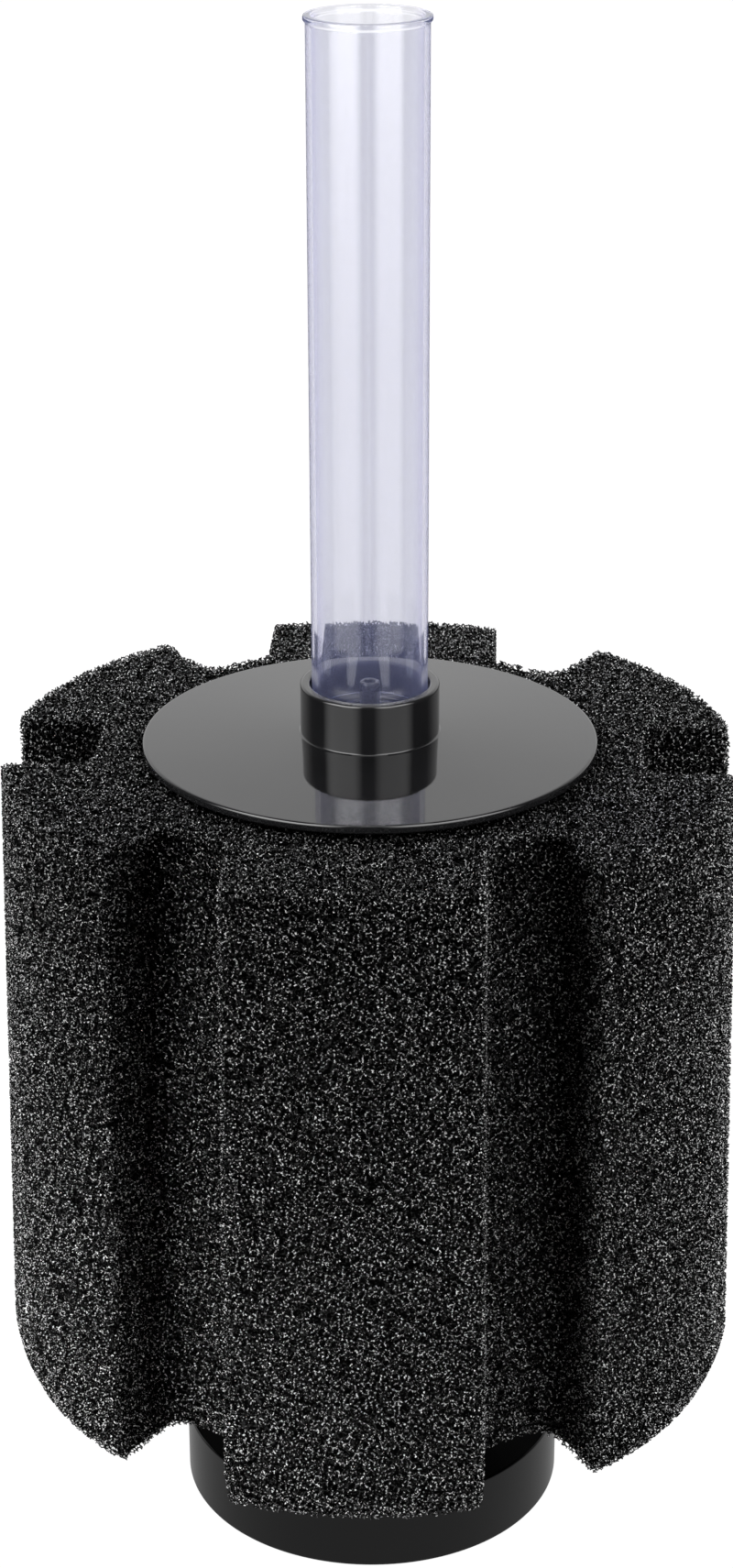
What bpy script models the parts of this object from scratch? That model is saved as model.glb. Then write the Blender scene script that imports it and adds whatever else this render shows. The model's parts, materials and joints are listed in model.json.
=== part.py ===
"""Air-driven sponge filter: a six-lobed foam column on a slotted core, held
between a top cap and a lower plate, on a weighted base, with a clear lift tube.

Metres, +Z up, front towards -Y. The origin is the centre of the base's
underside, on the filter's axis, which nearly every piece is turned about.

Dimensions are in mm. Endings: _R radius, _H height, _T thickness, _Z level
above the ground (_Z0 lower, _Z1 upper), _HALF half an angle in degrees.
"""

import math

import bmesh
import bpy

MM = 0.001
GAP = 0.3  # clearance between neighbouring pieces

# ---- dimensions shared between pieces ---------------------------------------
HUB_R = 11.0
HUB_TOP_Z = 24.0
HUB_BORE_R = 8.3

SPONGE_Z0 = 31.2
SPONGE_Z1 = 146.6

DISC_R = 38.85  # both retaining discs
DISC_T = 1.5
DISC_EDGE = 0.3

CORE_R = 10.0
CORE_SEGMENTS = ("core_lower", "core_middle", "core_upper")
CORE_SEGMENT_H = 36.0
SPIGOT_R = 8.1
SPIGOT_H = 5.0

CAP_BORE_R = SPIGOT_R + GAP
SOCKET_FLOOR_Z = 152.6
TUBE_R = 10.0

# Segments around a turned piece
SEG_BIG = 48
SEG_MID = 40
SEG_CORE = 24
SEG_SMALL = 20
SEG_HOLE = 8


# ---- scene and materials ----------------------------------------------------
for old in list(bpy.data.objects):
    bpy.data.objects.remove(old, do_unlink=True)


def new_material(name, colour, roughness, metallic=0.0, transmission=0.0):
    made = bpy.data.materials.new(name)
    made.use_nodes = True
    shader = made.node_tree.nodes["Principled BSDF"]
    shader.inputs["Base Color"].default_value = (*colour, 1.0)
    shader.inputs["Roughness"].default_value = roughness
    shader.inputs["Metallic"].default_value = metallic
    shader.inputs["Transmission Weight"].default_value = transmission
    made.diffuse_color = (*colour, 1.0)
    return made


CLEAR = new_material(
    "clear_plastic", colour=(0.86, 0.86, 0.94), roughness=0.04, transmission=0.9
)
GLOSS = new_material("gloss_black_plastic", colour=(0.012, 0.012, 0.013), roughness=0.08)
SATIN = new_material("satin_black_plastic", colour=(0.02, 0.02, 0.021), roughness=0.3)
FOAM = new_material("black_foam", colour=(0.015, 0.015, 0.016), roughness=0.6)
STEEL = new_material(
    "weight_steel", colour=(0.42, 0.42, 0.44), roughness=0.45, metallic=1.0
)

assembly = bpy.data.objects.new("sponge_filter", None)
bpy.context.scene.collection.objects.link(assembly)


# ---- modelling helpers ------------------------------------------------------
def add_object(name, shape, material):
    """Turn a bmesh into an object; without a material it is a boolean helper."""
    bmesh.ops.remove_doubles(shape, verts=shape.verts, dist=1e-6)
    bmesh.ops.recalc_face_normals(shape, faces=shape.faces)
    mesh = bpy.data.meshes.new(name)
    shape.to_mesh(mesh)
    shape.free()
    mesh.shade_smooth()
    mesh.set_sharp_from_angle(angle=math.radians(35))

    obj = bpy.data.objects.new(name, mesh)
    bpy.context.scene.collection.objects.link(obj)
    obj.parent = assembly
    if material is None:
        obj.hide_render = True
        obj.display_type = "WIRE"
    else:
        mesh.materials.append(material)
    return obj


def turned(name, profile, segments, material=None):
    """A body of revolution: profile is a closed (radius, height) outline in mm."""
    shape = bmesh.new()
    points = [shape.verts.new((radius * MM, 0.0, z * MM)) for radius, z in profile]
    edges = []
    for start, end in zip(points, points[1:] + points[:1]):
        on_axis = start.co.x < 1e-9 and end.co.x < 1e-9
        if not on_axis:
            edges.append(shape.edges.new((start, end)))
    bmesh.ops.spin(
        shape,
        geom=points + edges,
        axis=(0, 0, 1),
        cent=(0, 0, 0),
        angle=2 * math.pi,
        steps=segments,
        use_merge=True,
    )
    return add_object(name, shape, material)


def prism(name, outline, z0, z1, material=None):
    """An outline in mm, swept straight up from z0 to z1."""
    shape = bmesh.new()
    points = [shape.verts.new((x * MM, y * MM, z0 * MM)) for x, y in outline]
    floor = shape.faces.new(points)
    swept = bmesh.ops.extrude_face_region(shape, geom=[floor])
    top = [item for item in swept["geom"] if isinstance(item, bmesh.types.BMVert)]
    bmesh.ops.translate(shape, verts=top, vec=(0, 0, (z1 - z0) * MM))
    return add_object(name, shape, material)


def boolean(obj, other, operation):
    step = obj.modifiers.new(other.name, "BOOLEAN")
    step.operation = operation
    step.object = other
    step.solver = "EXACT"


def band(inner, outer, z0, z1):
    """Profile of a plain ring, or of a solid cylinder when inner is 0."""
    return [(inner, z0), (outer, z0), (outer, z1), (inner, z1)]


def disc_rim(under, top):
    """Chamfered rim of a retaining disc, from its underside to its top."""
    return [
        (DISC_R - DISC_EDGE, under),
        (DISC_R, under + DISC_EDGE),
        (DISC_R, top - DISC_EDGE),
        (DISC_R - DISC_EDGE, top),
    ]


def cross(half, reach):
    """Outline of a four-armed cross: half the arm width, and the arm length."""
    return [
        (half, half), (reach, half), (reach, -half),
        (half, -half), (half, -reach), (-half, -reach),
        (-half, -half), (-reach, -half), (-reach, half),
        (-half, half), (-half, reach), (half, reach),
    ]


def polar(radius, degrees):
    angle = math.radians(degrees)
    return (radius * math.cos(angle), radius * math.sin(angle))


def arc(radius, start, end, steps):
    """Points on a circle about the axis, both ends included."""
    return [polar(radius, start + (end - start) * i / steps) for i in range(steps + 1)]


def unit(start, end):
    """The direction from one point to another, with length 1."""
    length = math.hypot(end[0] - start[0], end[1] - start[1])
    return ((end[0] - start[0]) / length, (end[1] - start[1]) / length)


def rounded(before, corner, after, radius, steps=4):
    """The points that round one corner of an outline with a given radius."""
    back, ahead = unit(corner, before), unit(corner, after)
    cosine = back[0] * ahead[0] + back[1] * ahead[1]
    half = math.acos(max(-1.0, min(1.0, cosine))) / 2
    bisector = unit((0, 0), (back[0] + ahead[0], back[1] + ahead[1]))
    to_centre = radius / math.sin(half)
    to_tangent = radius / math.tan(half)
    centre_x = corner[0] + bisector[0] * to_centre
    centre_y = corner[1] + bisector[1] * to_centre

    def tangent_angle(side):
        return math.atan2(
            corner[1] + side[1] * to_tangent - centre_y,
            corner[0] + side[0] * to_tangent - centre_x,
        )

    start = tangent_angle(back)
    turn = (tangent_angle(ahead) - start + math.pi) % (2 * math.pi) - math.pi
    angles = [start + turn * i / steps for i in range(steps + 1)]
    return [
        (centre_x + radius * math.cos(angle), centre_y + radius * math.sin(angle))
        for angle in angles
    ]


# ---- base: housing, weight and cover ----------------------------------------
BASE_R = 34.4
BASE_H = 14.0
BASE_EDGE = 0.4
BASE_IN_R = BASE_R - 2.0  # inside the outer wall
DECK_UNDER_Z = BASE_H - 2.0
SLEEVE_R = HUB_BORE_R + 1.4  # the hub's wall below the deck
SLEEVE_LIFT = 0.5  # sleeve's foot above the cover
COVER_T = 2.1
WEIGHT_SIDE_GAP = 0.5
WEIGHT_TOP_GAP = 0.4


def build_base():
    sleeve_foot = COVER_T + SLEEVE_LIFT
    housing = [
        (BASE_R - BASE_EDGE, 0.0),
        (BASE_R, BASE_EDGE),
        (BASE_R, BASE_H - BASE_EDGE),
        (BASE_R - BASE_EDGE, BASE_H),
        (HUB_R, BASE_H),
        (HUB_R, HUB_TOP_Z),
        (HUB_BORE_R, HUB_TOP_Z),
        (HUB_BORE_R, sleeve_foot),
        (SLEEVE_R, sleeve_foot),
        (SLEEVE_R, DECK_UNDER_Z),
        (BASE_IN_R, DECK_UNDER_Z),
        (BASE_IN_R, 0.0),
    ]
    turned("base_housing", housing, SEG_BIG, SATIN)
    weight = band(
        SLEEVE_R + WEIGHT_SIDE_GAP,
        BASE_IN_R - WEIGHT_SIDE_GAP,
        COVER_T + GAP,
        DECK_UNDER_Z - WEIGHT_TOP_GAP,
    )
    turned("base_weight", weight, SEG_CORE, STEEL)
    turned("base_cover", band(0.0, BASE_IN_R - GAP, 0.0, COVER_T), SEG_MID, SATIN)


# ---- lower plate: disc, spigot for the core, stem into the base hub ---------
STEM_BORE_R = 6.4
STEM_FOOT_Z = 8.0


def build_lower_plate():
    top = SPONGE_Z0 - GAP
    under = top - DISC_T
    profile = [
        (STEM_BORE_R, STEM_FOOT_Z),
        (HUB_BORE_R - GAP, STEM_FOOT_Z),
        (HUB_BORE_R - GAP, HUB_TOP_Z + GAP),
        (HUB_R, HUB_TOP_Z + GAP),
        (HUB_R, under),
        *disc_rim(under, top),
        (SPIGOT_R, top),
        (SPIGOT_R, top + SPIGOT_H),
        (STEM_BORE_R, top + SPIGOT_H),
    ]
    turned("lower_plate", profile, SEG_MID, SATIN)


# ---- slotted core: three segments that plug into each other -----------------
CORE_IN_R = CORE_R - 1.6
SPIGOT_IN_R = 6.9
SPIGOT_ROOT_H = 1.5  # how far the narrow bore runs on below the spigot
SLOT_ROWS = 4
SLOT_PITCH = 8.0
SLOT_H = 3.4
SLOT_W = 10.6
SLOT_OVERRUN = 2.0  # cutter beyond the core's surface


def build_core_segment(name, foot):
    head = foot + CORE_SEGMENT_H
    profile = [
        (CORE_R, foot),
        (CORE_R, head),
        (SPIGOT_R, head),
        (SPIGOT_R, head + SPIGOT_H),
        (SPIGOT_IN_R, head + SPIGOT_H),
        (SPIGOT_IN_R, head - SPIGOT_ROOT_H),
        (CORE_IN_R, head - SPIGOT_ROOT_H),
        (CORE_IN_R, foot),
    ]
    segment = turned(name, profile, SEG_CORE, SATIN)
    # Each cross-shaped cutter opens a row of four slots.
    outline = cross(SLOT_W / 2, CORE_R + SLOT_OVERRUN)
    first = foot + (CORE_SEGMENT_H - (SLOT_ROWS - 1) * SLOT_PITCH - SLOT_H) / 2
    for row in range(SLOT_ROWS):
        low = first + row * SLOT_PITCH
        slot = prism(f"{name}_slot_{row}", outline, low, low + SLOT_H)
        boolean(segment, slot, "DIFFERENCE")


def build_core():
    for index, name in enumerate(CORE_SEGMENTS):
        build_core_segment(name, SPONGE_Z0 + index * (CORE_SEGMENT_H + GAP))


# ---- sponge: six lobes, grooves between them, bore for the core -------------
SPONGE_R = 64.0
SPONGE_BORE_R = 10.4
BORE_OVERRUN = 2  # cutter beyond each end
GROOVE_FLOOR_R = 48.0
FOOT_FILLET = 4.0
RIM_STEPS = 10
LOBE_PITCH = 60.0  # degrees
# (half angle at the rim, half angle at the groove floor)
WIDE_LOBE = (19.4, 26.1)  # front and back
SIDE_LOBE = (20.6, 18.2)
LOBES = [WIDE_LOBE, SIDE_LOBE, SIDE_LOBE] * 2  # anticlockwise from the front


def sponge_outline():
    outline = []
    for index, (rim_half, foot_half) in enumerate(LOBES):
        next_rim_half, next_foot_half = LOBES[(index + 1) % len(LOBES)]
        centre = -90.0 + LOBE_PITCH * index
        next_centre = centre + LOBE_PITCH
        outline += arc(SPONGE_R, centre - rim_half, centre + rim_half, RIM_STEPS)

        # The groove before the next lobe, with both its floor corners rounded
        foot = centre + foot_half
        next_foot = next_centre - next_foot_half
        rim_end = polar(SPONGE_R, centre + rim_half)
        next_rim = polar(SPONGE_R, next_centre - next_rim_half)
        middle = polar(GROOVE_FLOOR_R, (foot + next_foot) / 2)
        outline += rounded(rim_end, polar(GROOVE_FLOOR_R, foot), middle, FOOT_FILLET)
        outline += rounded(
            middle, polar(GROOVE_FLOOR_R, next_foot), next_rim, FOOT_FILLET
        )
    return outline


def build_sponge():
    sponge = prism("sponge", sponge_outline(), SPONGE_Z0, SPONGE_Z1, FOAM)
    profile = band(
        0.0, SPONGE_BORE_R, SPONGE_Z0 - BORE_OVERRUN, SPONGE_Z1 + BORE_OVERRUN
    )
    bore = turned("sponge_bore", profile, SEG_CORE)
    boolean(sponge, bore, "DIFFERENCE")


# ---- top cap: retaining disc, collar for the lift tube, skirt for the core --
SKIRT_Z = SPONGE_Z0 + len(CORE_SEGMENTS) * (CORE_SEGMENT_H + GAP)
COLLAR_R = 12.0
COLLAR_TOP_Z = 158.4
COLLAR_FOOT_EDGE = 0.25
COLLAR_EDGE_R, COLLAR_EDGE_H = 0.45, 0.5
SOCKET_R = TUBE_R + GAP
SOCKET_EDGE = 0.3
RIB_R = CAP_BORE_R - 0.8  # a rib standing into the bore
RIB_Z0, RIB_Z1 = 146.2, 147.2


def build_top_cap():
    under = SPONGE_Z1 + GAP
    top = under + DISC_T
    profile = [
        (CORE_R, SKIRT_Z),
        (CORE_R, under),
        *disc_rim(under, top),
        (COLLAR_R + COLLAR_FOOT_EDGE, top),
        (COLLAR_R, top + COLLAR_FOOT_EDGE),
        (COLLAR_R, COLLAR_TOP_Z - COLLAR_EDGE_H),
        (COLLAR_R - COLLAR_EDGE_R, COLLAR_TOP_Z),
        (SOCKET_R + SOCKET_EDGE, COLLAR_TOP_Z),
        (SOCKET_R, COLLAR_TOP_Z - SOCKET_EDGE),
        (SOCKET_R, SOCKET_FLOOR_Z),
        (CAP_BORE_R, SOCKET_FLOOR_Z),
        (CAP_BORE_R, RIB_Z1),
        (RIB_R, RIB_Z1),
        (RIB_R, RIB_Z0),
        (CAP_BORE_R, RIB_Z0),
        (CAP_BORE_R, SKIRT_Z),
    ]
    turned("top_cap", profile, SEG_BIG, GLOSS)


# ---- air diffuser: nipple, chamber and a ring carried on four arms ----------
CHAMBER_R, CHAMBER_IN_R = 5.2, 4.2
CHAMBER_Z0, CHAMBER_Z1 = 143.0, 147.8
CHAMBER_CEILING_Z = 147.0
NECK_R = 3.2
NECK_Z0, NECK_Z1 = 148.8, 152.2
NIPPLE_R, NIPPLE_BORE_R = 1.75, 1.0
NIPPLE_Z0, NIPPLE_Z1 = 153.0, 158.6
NIPPLE_EDGE_R, NIPPLE_EDGE_H = 0.3, 0.4
ARM_HALF_W, ARM_REACH = 0.7, 7.6
ARM_Z0, ARM_Z1 = 149.2, 151.6
RING_IN_R = 7.1
RING_Z0, RING_Z1 = 147.5, 152.2
PASSAGE_Z0, PASSAGE_Z1 = 146.0, 160.0


def build_diffuser_body():
    profile = [
        (CHAMBER_IN_R, CHAMBER_Z0),
        (CHAMBER_R, CHAMBER_Z0),
        (CHAMBER_R, CHAMBER_Z1),
        (NECK_R, NECK_Z0),
        (NECK_R, NECK_Z1),
        (NIPPLE_R, NIPPLE_Z0),
        (NIPPLE_R, NIPPLE_Z1 - NIPPLE_EDGE_H),
        (NIPPLE_R - NIPPLE_EDGE_R, NIPPLE_Z1),
        (NIPPLE_BORE_R, NIPPLE_Z1),
        (NIPPLE_BORE_R, CHAMBER_CEILING_Z),
        (CHAMBER_IN_R, CHAMBER_CEILING_Z),
    ]
    body = turned("diffuser_body", profile, SEG_SMALL, SATIN)
    arms = prism("diffuser_arms", cross(ARM_HALF_W, ARM_REACH), ARM_Z0, ARM_Z1)
    ring_profile = band(RING_IN_R, CAP_BORE_R - GAP, RING_Z0, RING_Z1)
    ring = turned("diffuser_ring", ring_profile, SEG_CORE)
    passage_profile = band(0.0, NIPPLE_BORE_R, PASSAGE_Z0, PASSAGE_Z1)
    passage = turned("diffuser_passage", passage_profile, SEG_SMALL)
    # The arms are cut first, so that they leave the bore open.
    boolean(arms, passage, "DIFFERENCE")
    boolean(body, arms, "UNION")
    boolean(body, ring, "UNION")


# The cap closes the chamber from below, with a ring that plugs into it.
LID_Z0 = 141.2
LID_EDGE = 0.3
LID_INNER_Z = 142.5
PLUG_IN_R = 3.1
PLUG_TOP_Z = 144.5
HOLES = 6
HOLE_R = 0.4
HOLE_CIRCLE_R = 2.0
HOLE_Z0, HOLE_Z1 = 140.5, 143.5


def build_diffuser_cap():
    plug_r = CHAMBER_IN_R - GAP
    profile = [
        (0.0, LID_Z0),
        (CHAMBER_R - LID_EDGE, LID_Z0),
        (CHAMBER_R, LID_Z0 + LID_EDGE),
        (CHAMBER_R, CHAMBER_Z0 - GAP),
        (plug_r, CHAMBER_Z0 - GAP),
        (plug_r, PLUG_TOP_Z),
        (PLUG_IN_R, PLUG_TOP_Z),
        (PLUG_IN_R, LID_INNER_Z),
        (0.0, LID_INNER_Z),
    ]
    cap = turned("diffuser_cap", profile, SEG_SMALL, SATIN)
    hole_profile = band(0.0, HOLE_R, HOLE_Z0, HOLE_Z1)
    for index in range(HOLES):
        x, y = polar(HOLE_CIRCLE_R, 360 / HOLES * index)
        hole = turned(f"diffuser_hole_{index}", hole_profile, SEG_HOLE)
        hole.location = (x * MM, y * MM, 0.0)
        boolean(cap, hole, "DIFFERENCE")


# ---- lift tube: clear, with a small flared bead at its mouth ----------------
TUBE_IN_R = TUBE_R - 1.0
TUBE_TOP_Z = 271.5
BEAD_R = 10.4
FLARE_DROP, BEAD_DROP = 1.2, 0.8  # starts of flare and bead, below the mouth
MOUTH_EDGE_H = 0.3
MOUTH_EDGE_OUT, MOUTH_EDGE_IN = 0.25, 0.2  # widths of the two chamfers


def build_lift_tube():
    profile = [
        (TUBE_IN_R, SOCKET_FLOOR_Z + GAP),
        (TUBE_R, SOCKET_FLOOR_Z + GAP),
        (TUBE_R, TUBE_TOP_Z - FLARE_DROP),
        (BEAD_R, TUBE_TOP_Z - BEAD_DROP),
        (BEAD_R, TUBE_TOP_Z - MOUTH_EDGE_H),
        (BEAD_R - MOUTH_EDGE_OUT, TUBE_TOP_Z),
        (TUBE_IN_R + MOUTH_EDGE_IN, TUBE_TOP_Z),
        (TUBE_IN_R, TUBE_TOP_Z - MOUTH_EDGE_H),
    ]
    turned("lift_tube", profile, SEG_MID, CLEAR)


build_base()
build_lower_plate()
build_core()
build_sponge()
build_top_cap()
build_diffuser_body()
build_diffuser_cap()
build_lift_tube()
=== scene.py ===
"""A sponge filter: weighted round base, six-lobed foam on a slotted core, glossy cap, clear tube.

It stands upright on z = 0 with its axis on z, and its front faces -Y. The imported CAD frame
gives the main sizes. Lengths are millimetres until a mesh is made; the floor, lights and
camera are in metres.
"""

import json
import math

import bmesh
import bpy
import numpy as np
from mathutils import Matrix, Vector

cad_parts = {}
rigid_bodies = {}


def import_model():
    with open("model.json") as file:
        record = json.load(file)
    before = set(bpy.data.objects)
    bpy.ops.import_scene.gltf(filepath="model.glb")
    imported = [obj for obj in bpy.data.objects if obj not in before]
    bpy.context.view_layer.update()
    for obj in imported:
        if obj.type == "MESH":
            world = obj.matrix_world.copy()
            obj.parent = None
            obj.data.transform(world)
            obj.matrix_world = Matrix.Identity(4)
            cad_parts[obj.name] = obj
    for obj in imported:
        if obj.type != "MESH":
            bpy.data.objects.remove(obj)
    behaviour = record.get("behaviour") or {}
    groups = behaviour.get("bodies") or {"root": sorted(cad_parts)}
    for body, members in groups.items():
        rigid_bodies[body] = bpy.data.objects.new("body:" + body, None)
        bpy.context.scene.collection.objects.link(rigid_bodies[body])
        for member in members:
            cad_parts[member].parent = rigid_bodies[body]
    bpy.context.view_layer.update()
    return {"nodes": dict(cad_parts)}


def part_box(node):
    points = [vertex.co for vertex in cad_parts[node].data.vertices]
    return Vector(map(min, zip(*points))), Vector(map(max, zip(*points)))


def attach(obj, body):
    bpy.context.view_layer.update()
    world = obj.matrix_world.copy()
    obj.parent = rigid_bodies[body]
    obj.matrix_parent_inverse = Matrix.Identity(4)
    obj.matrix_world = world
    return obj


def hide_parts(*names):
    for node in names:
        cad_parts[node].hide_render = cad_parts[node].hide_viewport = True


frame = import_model()
MM = 0.001


def box_mm(node):
    """The low and high corners of a CAD node's box."""
    low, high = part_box(node)
    return np.array(low) * 1000.0, np.array(high) * 1000.0


# ---- sizes shared between pieces ------------------------------------------------
_, HOUSING_HIGH = box_mm("base_housing")
_, COVER_HIGH = box_mm("base_cover")
WEIGHT_LOW, WEIGHT_HIGH = box_mm("base_weight")
PLATE_LOW, PLATE_HIGH = box_mm("lower_plate")
SPONGE_LOW, SPONGE_HIGH = box_mm("sponge")
CAP_LOW, CAP_HIGH = box_mm("top_cap")
TUBE_LOW, TUBE_HIGH = box_mm("lift_tube")

HUB_RADIUS = 11.0  # the base's hub, and the collar that rests on it
HUB_TOP = HOUSING_HIGH[2]
FIT_GAP = 0.3  # play between pieces that meet end to end
DISC_THICKNESS = 1.5  # the discs below and above the sponge
SPIGOT_RADIUS = 8.1  # the spigots of the lower plate and of each strainer segment


# ---- meshes ---------------------------------------------------------------------
def on_circle(radius, angle, z=0.0):
    """A point at an angle, in radians, on a circle about the z axis."""
    return (radius * math.cos(angle), radius * math.sin(angle), z)


def link(name, data):
    """A new object in the scene for a mesh, light or camera."""
    obj = bpy.data.objects.new(name, data)
    bpy.context.scene.collection.objects.link(obj)
    return obj


def mesh_from(name, points, loops, starts):
    """A smooth mesh from points, the faces' corner indices end to end, and where each starts."""
    mesh = bpy.data.meshes.new(name)
    mesh.vertices.add(len(points))
    mesh.vertices.foreach_set(
        "co", (np.asarray(points, np.float64) * MM).astype(np.float32).ravel()
    )
    loops = np.asarray(loops, np.int32).ravel()
    mesh.loops.add(len(loops))
    mesh.loops.foreach_set("vertex_index", loops)
    mesh.polygons.add(len(starts))
    mesh.polygons.foreach_set("loop_start", np.asarray(starts, np.int32))
    mesh.update(calc_edges=True)
    mesh.shade_smooth()
    return mesh


def arc(hub, radius, first, last, steps):
    """Points of the shorter arc about a hub, from the first point to the last."""
    start = math.atan2(*(first - hub)[::-1])
    end = math.atan2(*(last - hub)[::-1])
    sweep = (end - start + math.pi) % (2 * math.pi) - math.pi
    points = []
    for k in range(steps + 1):
        angle = start + sweep * k / steps
        points.append((hub[0] + radius * math.cos(angle), hub[1] + radius * math.sin(angle)))
    return points


FILLET_STEPS = 4
FILLET_GUARD = 0.14  # how far the guard points stand off a fillet's ends


def fillet(profile):
    """Rounds a closed outline of (r, z, corner radius), with guard points to keep flats flat."""
    outline = []
    for i, (r, z, radius) in enumerate(profile):
        corner = np.array((r, z))
        back = np.array(profile[i - 1][:2]) - corner
        onward = np.array(profile[(i + 1) % len(profile)][:2]) - corner
        back_length, onward_length = np.linalg.norm(back), np.linalg.norm(onward)
        u, v = back / back_length, onward / onward_length
        turn = math.acos(max(-1.0, min(1.0, float(u @ v))))
        if radius <= 0 or turn > math.radians(176):
            outline.append(tuple(corner))
            continue
        # a fillet takes up less than half of each side
        reach = min(radius / math.tan(turn / 2), 0.46 * back_length, 0.46 * onward_length)
        radius = reach * math.tan(turn / 2)
        hub = corner + (u + v) / np.linalg.norm(u + v) * (radius / math.sin(turn / 2))
        first, last = corner + u * reach, corner + v * reach
        if back_length > 2.5 * (reach + FILLET_GUARD):
            outline.append(tuple(first + u * FILLET_GUARD))
        outline += arc(hub, radius, first, last, FILLET_STEPS)
        if onward_length > 2.5 * (reach + FILLET_GUARD):
            outline.append(tuple(last + v * FILLET_GUARD))
    return outline


def turned(name, outline, segments):
    """A body of revolution from a closed (r, z) outline; points at r = 0 close on the axis."""
    outline = [(max(0.0, float(r)), float(z)) for r, z in outline]
    area = sum(
        outline[i - 1][0] * outline[i][1] - outline[i][0] * outline[i - 1][1]
        for i in range(len(outline))
    )
    if area < 0:
        outline.reverse()
    rows, points = [], []
    angles = [2 * math.pi * k / segments for k in range(segments)]
    for r, z in outline:
        if r < 1e-6:
            rows.append([len(points)] * segments)
            points.append((0.0, 0.0, z))
        else:
            rows.append(list(range(len(points), len(points) + segments)))
            points.extend(on_circle(r, angle, z) for angle in angles)
    loops, starts = [], []
    for i in range(len(outline)):
        low, high = rows[i - 1], rows[i]
        if low[0] == low[1] and high[0] == high[1]:
            continue
        for k in range(segments):
            after = (k + 1) % segments
            corners = [low[k], low[after], high[after], high[k]]
            starts.append(len(loops))
            loops.extend(c for j, c in enumerate(corners) if c != corners[j - 1])
    mesh = mesh_from(name, points, loops, starts)
    mesh.set_sharp_from_angle(angle=math.radians(40))
    return link(name, mesh)


def softened(obj, width):
    """Rounds a mesh's sharp edges by a width."""
    bm = bmesh.new()
    bm.from_mesh(obj.data)
    bmesh.ops.recalc_face_normals(bm, faces=bm.faces)
    sharp = [
        edge
        for edge in bm.edges
        if len(edge.link_faces) == 2 and edge.calc_face_angle(0.0) > math.radians(40)
    ]
    bmesh.ops.bevel(
        bm, geom=sharp, offset=width * MM, offset_type="OFFSET", segments=2,
        profile=0.5, affect="EDGES", clamp_overlap=True,
    )
    bm.to_mesh(obj.data)
    bm.free()
    obj.data.shade_smooth()
    obj.data.set_sharp_from_angle(angle=math.radians(35))
    return obj


def merged(obj, others, operation):
    """Joins other bodies to this one (UNION), or cuts them from it (DIFFERENCE)."""
    for other in others:
        step = obj.modifiers.new("step", "BOOLEAN")
        step.operation = operation
        step.object = other
        step.solver = "EXACT"
    bpy.context.view_layer.update()
    graph = bpy.context.evaluated_depsgraph_get()
    mesh = bpy.data.meshes.new_from_object(obj.evaluated_get(graph))
    obj.modifiers.clear()
    obj.data = mesh
    for other in others:
        bpy.data.objects.remove(other, do_unlink=True)
    bm = bmesh.new()
    bm.from_mesh(mesh)
    bmesh.ops.remove_doubles(bm, verts=bm.verts, dist=1e-6)
    bm.to_mesh(mesh)
    bm.free()
    mesh.shade_smooth()
    mesh.set_sharp_from_angle(angle=math.radians(35))
    return obj


def place(obj, mat, body, slot, *nodes):
    """Gives a piece its material and moving body, and hides the CAD nodes it stands in for."""
    obj.data.materials.clear()
    obj.data.materials.append(mat)
    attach(obj, body)
    if nodes:
        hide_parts(*nodes)
    return obj


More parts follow.
